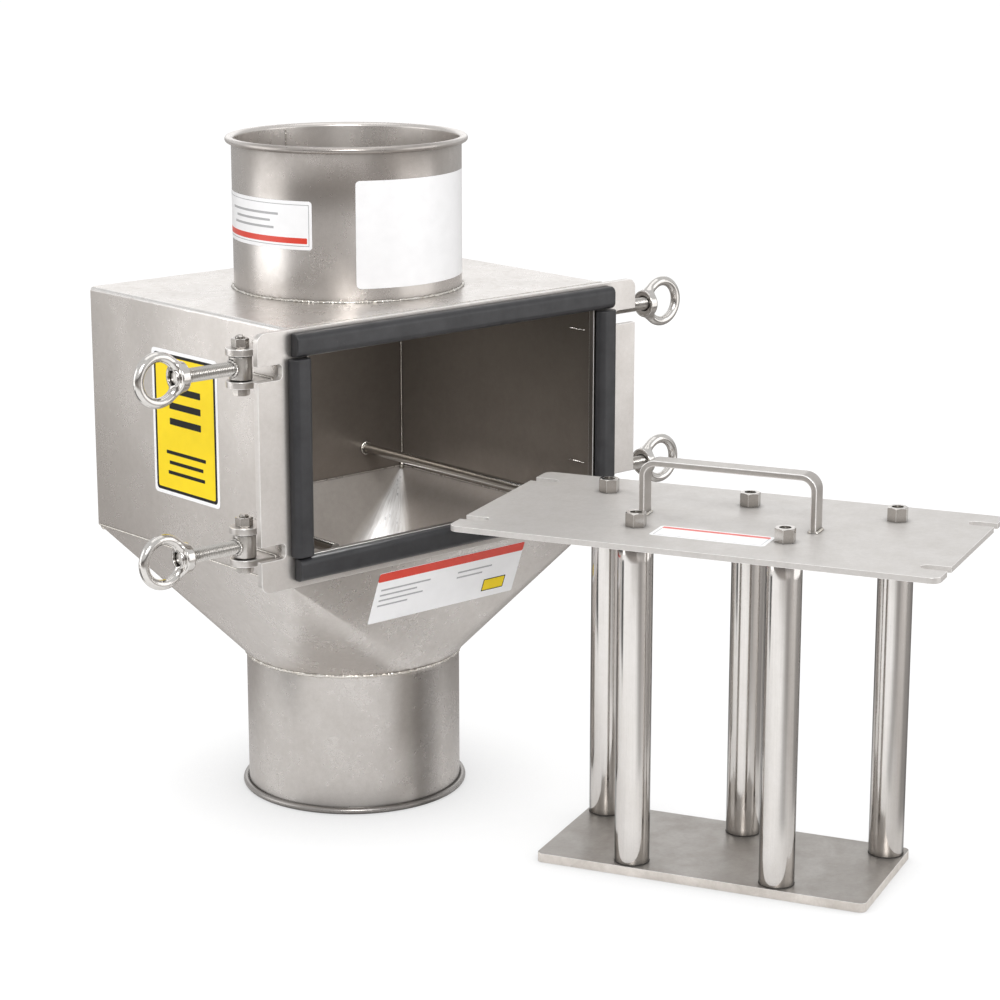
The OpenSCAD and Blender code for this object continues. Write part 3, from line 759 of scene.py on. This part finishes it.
def surface_net(field, lo, hi, h):
    lo, hi = np.array(lo, float), np.array(hi, float)
    n = np.ceil((hi - lo) / h).astype(int) + 1
    ax = [lo[i] + h * np.arange(n[i]) for i in range(3)]
    G = np.stack(np.meshgrid(*ax, indexing="ij"), -1).reshape(-1, 3)
    s = (field(G) < 0).reshape(n)
    c = np.zeros(n - 1, int)
    for i in (0, 1):
        for j in (0, 1):
            for k in (0, 1):
                c += s[i:n[0] - 1 + i, j:n[1] - 1 + j, k:n[2] - 1 + k]
    mixed = (c > 0) & (c < 8)
    idx = -np.ones(mixed.shape, int)
    idx[mixed] = np.arange(mixed.sum())
    P = lo + h * (np.argwhere(mixed) + 0.5)
    E = np.eye(3) * 0.02
    for _ in range(6):
        d = field(P)
        g = np.stack([(field(P + E[i]) - field(P - E[i])) / 0.04 for i in range(3)], -1)
        step = (d / ((g * g).sum(1) + 1e-3))[:, None] * g
        L = np.linalg.norm(step, axis=1)[:, None]
        P = P - step * np.minimum(1.0, 0.5 * h / (L + 1e-9))
    quads = []
    for a in range(3):
        b, e = (a + 1) % 3, (a + 2) % 3
        s0, s1 = [slice(None)] * 3, [slice(None)] * 3
        s0[a], s1[a] = slice(0, -1), slice(1, None)
        for w in (b, e):
            s0[w] = s1[w] = slice(1, -1)
        A, B = s[tuple(s0)], s[tuple(s1)]
        pts = np.argwhere(A != B)
        val = A[A != B]
        off = np.zeros(3, int)
        off[b] = off[e] = 1
        pts = pts + off
        eb, ee = np.zeros(3, int), np.zeros(3, int)
        eb[b] = 1
        ee[e] = 1
        q = np.stack([idx[tuple((pts + o).T)] for o in (0 * eb, -eb, -eb - ee, -ee)], -1)
        q[~val] = q[~val][:, ::-1]
        quads.append(q)
    return P, np.concatenate(quads)


RN_V, RN_F = surface_net(ring_nut_field, (-0.9, -13.6, -24.4), (48.6, 13.6, 24.4), 0.62)


def ring_nut(side, level):
    s, t = (-1 if side == "left" else 1), (1 if level == "top" else -1)
    node = f"ring_nut_{side}_{level}"
    P = RN_V.copy()
    P[:, 0] = s * (PIN_X + 58.0) + s * P[:, 0]
    P[:, 1] += PIN_Y
    P[:, 2] += ZC + t * SLOT_Z
    F = RN_F if s > 0 else RN_F[:, ::-1]
    me = Geo().add(P, F.tolist()).mesh(node, 60)
    piece("v_" + node, me, SLOT[node], BODY[node], (node,))


for s in ("left", "right"):
    for t in ("top", "bottom"):
        ring_nut(s, t)


# ------------------------------------------------------------------ magnet tubes
def tube(i):
    node = f"tube_{i + 1}"
    z0, z1 = END_T, DRAWER_H - PLATE_T
    prof = [(13.5, z0), (14.45, z0), (14.55, z0 + 0.2), (14.55, z0 + 0.55), (14.9, z0 + 0.8), (15.0, z0 + 1.0)]
    prof += [(15.0, z0 + (z1 - z0) * q / 12) for q in range(1, 12)]
    prof += [(15.0, z1 - 0.5), (14.75, z1 - 0.12), (14.5, z1), (13.5, z1)]
    v, f = revolved(prof, 128)
    x, y, _ = drawer(*ROWS[i], 0)
    g = Geo().add([(a + x, b + y, c) for a, b, c in v], f)
    piece("v_" + node, g.mesh(node, 35), SLOT[node], BODY[node], (node,))


for i in range(5):
    tube(i)

# ------------------------------------------------------------------ weld beads
HOUSING = BODY["hopper"]


def weld(name, parts, body=HOUSING, mat=None):
    g = Geo()
    for v, f in parts:
        g.add(v, f)
    return piece("w_" + name, g.mesh(name, 70), "bright_steel", body, (), mat or M_WELD)


weld("inlet_foot", [bead(arc(RI + 0.4, ZT + 0.3, 0, 360, 400)[:-1], 1.7, True, seed=1.0, pitch=3.4, ripple=0.05, rough=0.42)])
weld("hopper_outlet", [bead(arc(RO + 0.35, Z_HOP + 0.1, 0, 360, 400)[:-1], 1.6, True, seed=2.0, pitch=3.2, ripple=0.07, rough=0.45)])
weld("hopper_box", [bead([(-XB - 0.1, YF + 2, ZB), (-XB - 0.1, YB - 1.9, ZB), (-XB + 0.9, YB - 1.15, ZB), (XB - 0.9, YB - 1.15, ZB), (XB + 0.1, YB - 1.9, ZB), (XB + 0.1, YF + 2, ZB)],
                         0.8, seed=3.0, pitch=1.8)])
weld("flange_box", [bead([(s * (XB + 0.5), YF + 0.4, ZB + 6), (s * (XB + 0.5), YF + 0.4, ZT - 4)], 1.5, up=(0, 1, 0), seed=4.0 + s, pitch=2.2) for s in (-1, 1)]
     + [bead([(-XB + 3, YF + 0.15, ZT - 0.25), (XB - 3, YF + 0.15, ZT - 0.25)], 0.7, seed=9.0, pitch=1.8, rough=0.4)])
weld("flange_hopper", [bead([(-XB + 6, YF + 0.4, ZB - 0.6), (XB - 6, YF + 0.4, ZB - 0.6)], 1.1, seed=5.0, pitch=2.0)])
lug_parts = []
for s in (-1, 1):
    for t in (-1, 1):
        for u in (-1, 1):
            z0 = ZC + t * SLOT_Z + u * 10.6
            z1 = z0 + u * 6.0
            y0, y1 = PIN_Y - 12.5, PIN_Y + 12.5
            x = s * (XB + 0.35)
            loop = [(x, y0 - 0.2, min(z0, z1) - 0.2), (x, y1 + 0.2, min(z0, z1) - 0.2), (x, y1 + 0.2, max(z0, z1) + 0.2), (x, y0 - 0.2, max(z0, z1) + 0.2)]
            lug_parts.append(bead(loop, 1.15, True, up=(1, 0, 0), seed=11.0 + s + 2 * t + 5 * u, pitch=2.0, rough=0.25))
weld("lugs", lug_parts)
# inside: corner seams, joint of box and hopper, ends of the guide rods
inner = []
for s in (-1, 1):
    inner.append(bead([(s * (XB - 2.6), YB - 2.6, ZB + 1), (s * (XB - 2.6), YB - 2.6, ZT - 3)], 1.15, up=(0, 1, 0), seed=20.0 + s, pitch=2.4, ripple=0.05, rough=0.12))
    inner.append(sweep([(s * (XB - 3.4), YB - 3.4, ZB - 5 + 1.3 * i) for i in range(9)],
                       [1.2, 2.1, 2.7, 3.0, 3.1, 2.9, 2.5, 2.0, 1.4], up=(0, 1, 0), seg=12))
weld("inner_corners", inner)
weld("inner_joint", [bead([(-XB + 2.3, YF + 4, ZB), (-XB + 2.3, YB - 2.3, ZB), (XB - 2.3, YB - 2.3, ZB), (XB - 2.3, YF + 4, ZB)], 0.75, seed=24.0, pitch=1.8)],
     mat=M["blasted_steel"])
rods = []
for s in (-1, 1):
    ring = [(s * 132.0 + 5.4 * math.cos(2 * math.pi * i / 60), YB - 2.4, 272.0 + 5.4 * math.sin(2 * math.pi * i / 60)) for i in range(60)]
    rods.append(bead(ring, 1.3, True, up=(0, 1, 0), seed=30.0 + s, pitch=2.2, rough=0.3))
weld("rod_ends", rods)
# seam of the rolled inlet and outlet sheets, and burn spots of the lug welds on the right wall
sa = math.radians(85)
weld("roll_seams", [bead([(q * math.cos(sa), q * math.sin(sa), z0), (q * math.cos(sa), q * math.sin(sa), z1)], 0.75, up=(math.cos(sa), math.sin(sa), 0), seed=40.0 + q, pitch=1.8, flat=0.7)
                    for q, z0, z1 in ((RI - 2.1, ZT + 1, ZTOP - 4), (RI + 0.1, ZT + 2, ZTOP - 6), (RO + 0.1, 6, Z_HOP - 1))])
marks = []
for s in (-1, 1):
    for t in (-1, 1):
        for u in (-1, 1):
            z = ZC + t * SLOT_Z + u * 13.6
            marks.append(bead([(s * (XB - 2.15), PIN_Y - 10, z), (s * (XB - 2.15), PIN_Y + 10, z)], 0.8, up=(1, 0, 0), seed=50.0 + s + t * 3 + u, pitch=2.6, rough=0.7, flat=1.0))
weld("inner_marks", marks, mat=M["bright_steel"])
feet = []
for du, su in ((-HANDLE_L / 2, -1), (-HANDLE_L / 2 + 5.0, 1), (HANDLE_L / 2 - 5.0, -1), (HANDLE_L / 2, 1)):
    u = HANDLE_U + du + su * 0.5
    feet.append(bead([drawer(u, HANDLE_V - HANDLE_W / 2 + 0.5, DRAWER_H + 0.4), drawer(u, HANDLE_V + HANDLE_W / 2 - 0.5, DRAWER_H + 0.4)], 1.6, seed=60.0 + du, pitch=2.4))
weld("handle_feet", feet, BODY["handle"])
# painted shade: a dark ring round the foot of each tube
contact_shade_rings = []
for i, (u, v) in enumerate(ROWS):
    x, y, _ = drawer(u, v, 0)
    contact_shade_rings.append(bead(arc(14.75, END_T + 0.45, 0, 360, 200, x, y)[:-1], 0.55, True, seed=70.0 + i, ripple=0.0, rough=0.05))
weld("tube_contact_shade", contact_shade_rings, BODY["end_plate"], M_CONTACT_SHADE)


# ------------------------------------------------------------------ labels: thin films with plain generic marks
def strip(w, h, r, n=24, cx=0.0, cy=0.0):
    cols = []
    xs = [-w / 2] + [-w / 2 + r * (1 - math.cos(math.pi / 2 * i / 6)) for i in range(1, 7)] if r > 0 else [-w / 2]
    lo = xs[-1]
    mid = [lo + (-2 * lo) * i / n for i in range(1, n)]
    xs = xs + mid + [-x for x in reversed(xs)]
    for x in xs:
        e = w / 2 - abs(x)
        y = h / 2 if r <= 0 or e >= r else h / 2 - r + math.sqrt(max(0.0, r * r - (r - e) ** 2))
        cols.append((cx + x, cy - y, cy + y))
    return cols


def slab(name, cols, place, t0, t1, slot, body, nodes=(), mat=None):
    verts, faces = [], []
    for u, a, b in cols:
        verts += [place(u, a, t0), place(u, b, t0), place(u, b, t1), place(u, a, t1)]
    for i in range(len(cols) - 1):
        p, q = 4 * i, 4 * i + 4
        faces += [(p + 3, q + 3, q + 2, p + 2), (p, p + 1, q + 1, q), (p, q, q + 3, p + 3), (p + 1, p + 2, q + 2, q + 1)]
    e = 4 * (len(cols) - 1)
    faces += [(0, 3, 2, 1), (e, e + 1, e + 2, e + 3)]
    V = np.array(verts)
    f = faces[0]
    nrm = np.cross(V[f[1]] - V[f[0]], V[f[2]] - V[f[0]])
    out = np.array(place(cols[0][0], 0, 1.0)) - np.array(place(cols[0][0], 0, 0.0))
    if np.dot(nrm, out) < 0:
        faces = [tuple(reversed(q)) for q in faces]
    return piece(name, Geo().add(verts, faces).mesh(name, 30), slot, body, nodes, mat)


def frame_lines(name, w, h, t, place, lift, slot, body, cx=0.0, cy=0.0, mat=None, n=24):
    for i, (a, b, x, y) in enumerate(((w, t, 0, h / 2 - t / 2), (w, t, 0, -h / 2 + t / 2), (t, h - 2 * t, -w / 2 + t / 2, 0), (t, h - 2 * t, w / 2 - t / 2, 0))):
        slab(f"{name}_{i}", strip(a, b, 0, n if a > b else 1, cx + x, cy + y), place, 0.0, lift, slot, body, (), mat)


def on_inlet(a_mid, z_mid):
    def place(u, v, t):
        a = math.radians(a_mid) + u / RI
        return ((RI + 0.02 + t) * math.cos(a), (RI + 0.02 + t) * math.sin(a), z_mid + v)
    return place


PAPER, INK = 0.22, 0.27
pl = on_inlet(176, ZT + 66)
W = math.radians(76) * RI
slab("v_label_inlet_small", strip(W, 42, 3, 48), pl, 0.0, PAPER, "label_white", HOUSING, ("label_inlet_small",))
frame_lines("print_inlet_small", W - 5, 36, 0.6, pl, INK, "label_black", HOUSING, mat=M_LINE, n=48)
slab("print_inlet_small_band", strip(W - 9, 5.0, 0.8, 48, 0, -13.2), pl, 0.0, INK, "label_red", HOUSING)
for j, (w, y) in enumerate(((70, 9), (52, 3), (60, -3))):
    slab(f"print_inlet_small_bar_{j}", strip(w, 2.0, 0, 24, 0.0, y), pl, 0.0, INK, "label_black", HOUSING, (), M_LINE)
pl = on_inlet(-84.85, ZT + 58.5)
slab("v_label_inlet_large", strip(math.radians(79.7) * RI, 93, 4, 56), pl, 0.0, PAPER, "label_white", HOUSING, ("label_inlet_large",))


def on_side(u, v, t):
    return (-XB - 0.02 - t, 2 - u, ZB + 112.5 + v)


slab("v_label_side", strip(96, 129, 4), on_side, 0.0, 0.18, "label_white", HOUSING, ("label_side",))
slab("print_side_frame", strip(89.5, 122.5, 3.5), on_side, 0.0, 0.22, "label_black", HOUSING)
slab("print_side_field", strip(84.0, 117.0, 2.0), on_side, 0.0, 0.26, "label_yellow", HOUSING)
for j, (w, h, y) in enumerate(((46, 6, 30), (46, 6, 16), (46, 6, 2), (58, 3.2, -26), (50, 3.2, -35), (54, 3.2, -44))):
    slab(f"print_side_bar_{j}", strip(w, h, 0.6, 4, 0, y), on_side, 0.0, 0.29, "label_black", HOUSING)

LEAN = math.atan((YB - RO) / (ZB - Z_HOP - 0.01))


def on_hopper(u, v, t):
    # v runs up the slope from the joint with the box, t stands off the sheet
    c, s = math.cos(LEAN), math.sin(LEAN)
    w = v - 35.0
    return (3 + u, YF + 0.02 - s * w - c * (t + 0.03), ZB + c * w - s * (t + 0.03))


slab("v_label_hopper", strip(168, 53, 2), on_hopper, 0.0, PAPER, "label_white", HOUSING, ("label_hopper",))
slab("print_hopper_band", strip(168, 9.0, 1.6, 24, 0, 21.6), on_hopper, 0.0, INK, "label_red", HOUSING)
slab("print_hopper_block_edge", strip(26, 13, 0.8, 8, 58, -13), on_hopper, 0.0, INK, "label_black", HOUSING)
slab("print_hopper_block", strip(24, 11, 0.5, 8, 58, -13), on_hopper, 0.0, INK + 0.03, "label_yellow", HOUSING)
for j, (w, x, y) in enumerate(((56, -50, 8), (42, -57, 2.5), (50, -53, -3), (34, -61, -8.5), (40, 30, 8), (30, 25, 2.5))):
    slab(f"print_hopper_bar_{j}", strip(w, 1.6, 0, 6, x, y), on_hopper, 0.0, INK, "label_black", HOUSING, (), M_LINE)


def on_drawer(u, v, t):
    return drawer(4.5 + u, -53 + v, DRAWER_H + 0.02 + t)


slab("v_label_drawer", strip(99, 32, 3), on_drawer, 0.0, PAPER, "label_white", BODY["label_drawer"], ("label_drawer",))
slab("print_drawer_band", strip(93, 5.0, 1.2, 16, 0, 11.0), on_drawer, 0.0, INK, "label_red", BODY["label_drawer"])
frame_lines("print_drawer", 93, 26.5, 0.6, on_drawer, INK - 0.01, "label_black", BODY["label_drawer"], mat=M_LINE)


# ------------------------------------------------------------------ floor, world, lights
FLOOR_NEAR, FLOOR_PALE, FLOOR_DARK, FLOOR_BACK = 0.90, (0.98, 0.98, 0.98), (0.27, 0.25, 0.235), (0.42, 0.40, 0.385)
FLOOR_RIGHT = (0.50, 0.48, 0.465)
FLOOR_FAR = (0.56, 0.55, 0.54)
FLAGS = [(-180, 1.0), (-140, 1.0), (-125, 0.88), (-112, 0.62), (-102, 0.62), (-90, 0.9), (-80, 1.0), (-60, 0.97), (-46, 0.55), (-20, 0.50),
         (-8, 0.9), (8, 0.9), (22, 0.72), (85, 0.72), (98, 0.9), (118, 0.9), (130, 0.55), (137, 0.05), (146, 0.05), (150, 1.0), (180, 1.0)]
EYE_ALBEDO, EYE_GLOW = 0.20, 0.86
SKY, SKY_DARK = 0.80, (0.16, 0.145, 0.135)
floor_me = bpy.data.meshes.new("floor")
bm = bmesh.new()
R = 40.0
vs = [bm.verts.new((x * R, y * R, -0.0003)) for x, y in ((-1, -1), (1, -1), (1, 1), (-1, 1))]
bm.faces.new(vs)
bm.to_mesh(floor_me)
bm.free()
floor = bpy.data.objects.new("floor", floor_me)
scene.collection.objects.link(floor)
fm, k, b = material("m_floor")
# pale to the eye everywhere; what the steel reflects is pale near the object and a darker studio beyond
co = coords(k)
x, y, z = k.xyz(co)
n = k.noise(co, 3.0, 2.0)
eye = k.add("ShaderNodeLightPath").outputs["Is Camera Ray"]
front = k.math("ADD", k.math("MULTIPLY", x, -0.6225), k.math("MULTIPLY", y, -0.7826))
far_front = k.maprange(front, FLOOR_NEAR, FLOOR_NEAR + 0.7, 0.0, 1.0, True)
far_back = k.maprange(front, 0.10, -0.30, 0.0, 1.0, True)
right = k.math("ADD", k.math("MULTIPLY", x, 0.7455), k.math("MULTIPLY", y, -0.6665))
far_right = k.maprange(right, 0.25, 0.75, 0.0, 1.0, True)
seen = k.ramp(n, [(0.3, EYE_ALBEDO * 0.99), (0.7, EYE_ALBEDO * 1.01)])
away = k.math("SQRT", k.math("ADD", k.math("POWER", x, 2.0), k.math("POWER", y, 2.0)))
behind = k.mix(k.maprange(away, 1.45, 1.95, 0.0, 1.0, True), FLOOR_BACK, FLOOR_FAR)
mirrored = k.mix(far_back, k.mix(far_right, k.mix(far_front, FLOOR_PALE, FLOOR_DARK), FLOOR_RIGHT), behind)
# flags and gaps of the studio round the drawer give its tubes their light and dark stripes
fx, fy = k.math("SUBTRACT", x, 0.098), k.math("ADD", y, 0.379)
turn = k.maprange(k.math("ARCTAN2", fy, fx), -math.pi, math.pi, 0.0, 1.0)
flags = k.ramp(turn, [((a + 180) / 360, v) for a, v in FLAGS])
reach = k.math("SQRT", k.math("ADD", k.math("POWER", fx, 2.0), k.math("POWER", fy, 2.0)))
where = k.math("MULTIPLY", k.band(reach, 0.25, 1.35, 0.04), k.maprange(away, 0.38, 0.50, 0.0, 1.0, True))
flags = k.mix(where, 1.0, flags)
mirrored = k.mix(1.0, mirrored, flags, "MULTIPLY")
k.link(k.mix(eye, mirrored, seen), b.inputs["Base Color"])
b.inputs["Roughness"].default_value = 0.9
b.inputs["Specular IOR Level"].default_value = 0.1
# painted shadow: seen from the camera, the floor's glow dims near the object as a soft contact shadow
ao = k.add("ShaderNodeAmbientOcclusion", samples=6)
ao.inputs["Distance"].default_value = 0.16
k.link(k.math("MULTIPLY", eye, k.maprange(ao.outputs["AO"], 0.50, 0.97, EYE_GLOW * 0.72, EYE_GLOW)), b.inputs["Emission Strength"])
b.inputs["Emission Color"].default_value = (1, 1, 1, 1)
floor_me.materials.append(fm)

world = bpy.data.worlds.new("studio")
scene.world = world
world.use_nodes = True
k = Nodes(world.node_tree)
bg = next(n for n in world.node_tree.nodes if n.type == "BACKGROUND")
d = k.add("ShaderNodeTexCoord").outputs["Generated"]
sx, sy, sz = k.xyz(d)
up = k.ramp(sz, [(0.0, 0.74), (0.10, 0.95), (0.30, 1.0), (1.0, 1.0)])
front = k.math("ADD", k.math("MULTIPLY", sx, -0.6225), k.math("MULTIPLY", sy, -0.7826))
dark = k.math("MULTIPLY", k.maprange(front, 0.35, 0.85, 0.0, 1.0, True), k.maprange(sz, 0.03, 0.18, 1.0, 0.0, True))
k.link(k.mix(dark, up, SKY_DARK), bg.inputs["Color"])
bg.inputs["Strength"].default_value = SKY


def area(name, loc, aim, size, power, color=(1, 1, 1), size_y=None):
    l = bpy.data.lights.new(name, "AREA")
    l.energy = power
    l.color = color
    l.size = size
    if size_y:
        l.shape = "RECTANGLE"
        l.size_y = size_y
    o = bpy.data.objects.new(name, l)
    scene.collection.objects.link(o)
    o.location = loc
    o.visible_camera = False
    o.rotation_euler = (Vector(aim) - Vector(loc)).to_track_quat("-Z", "Y").to_euler()
    return o


area("front_right", (0.76, -1.18, 0.56), (0.0, 0.0, 0.50), 1.0, 3.6, size_y=1.08)
area("left", (-1.20, 0.72, 0.60), (0.0, 0.0, 0.50), 1.0, 3.7, size_y=1.05)
area("behind", (1.55, 2.0, 1.35), (0, 0, 0.45), 2.2, 4.9, size_y=1.1)
area("top", (0.1, 0.0, 2.6), (0, 0, 0.3), 1.8, 7.5)
area("front", (-1.75, -2.35, 2.1), (0.05, -0.1, 0.28), 1.2, 42)

# daylight falling through the inlet into the hopper
down = area("through_inlet", (0.0, 0.0, 0.4625), (0.03, 0.03, 0.0), 0.17, 0.62)
down.data.shape = "DISK"
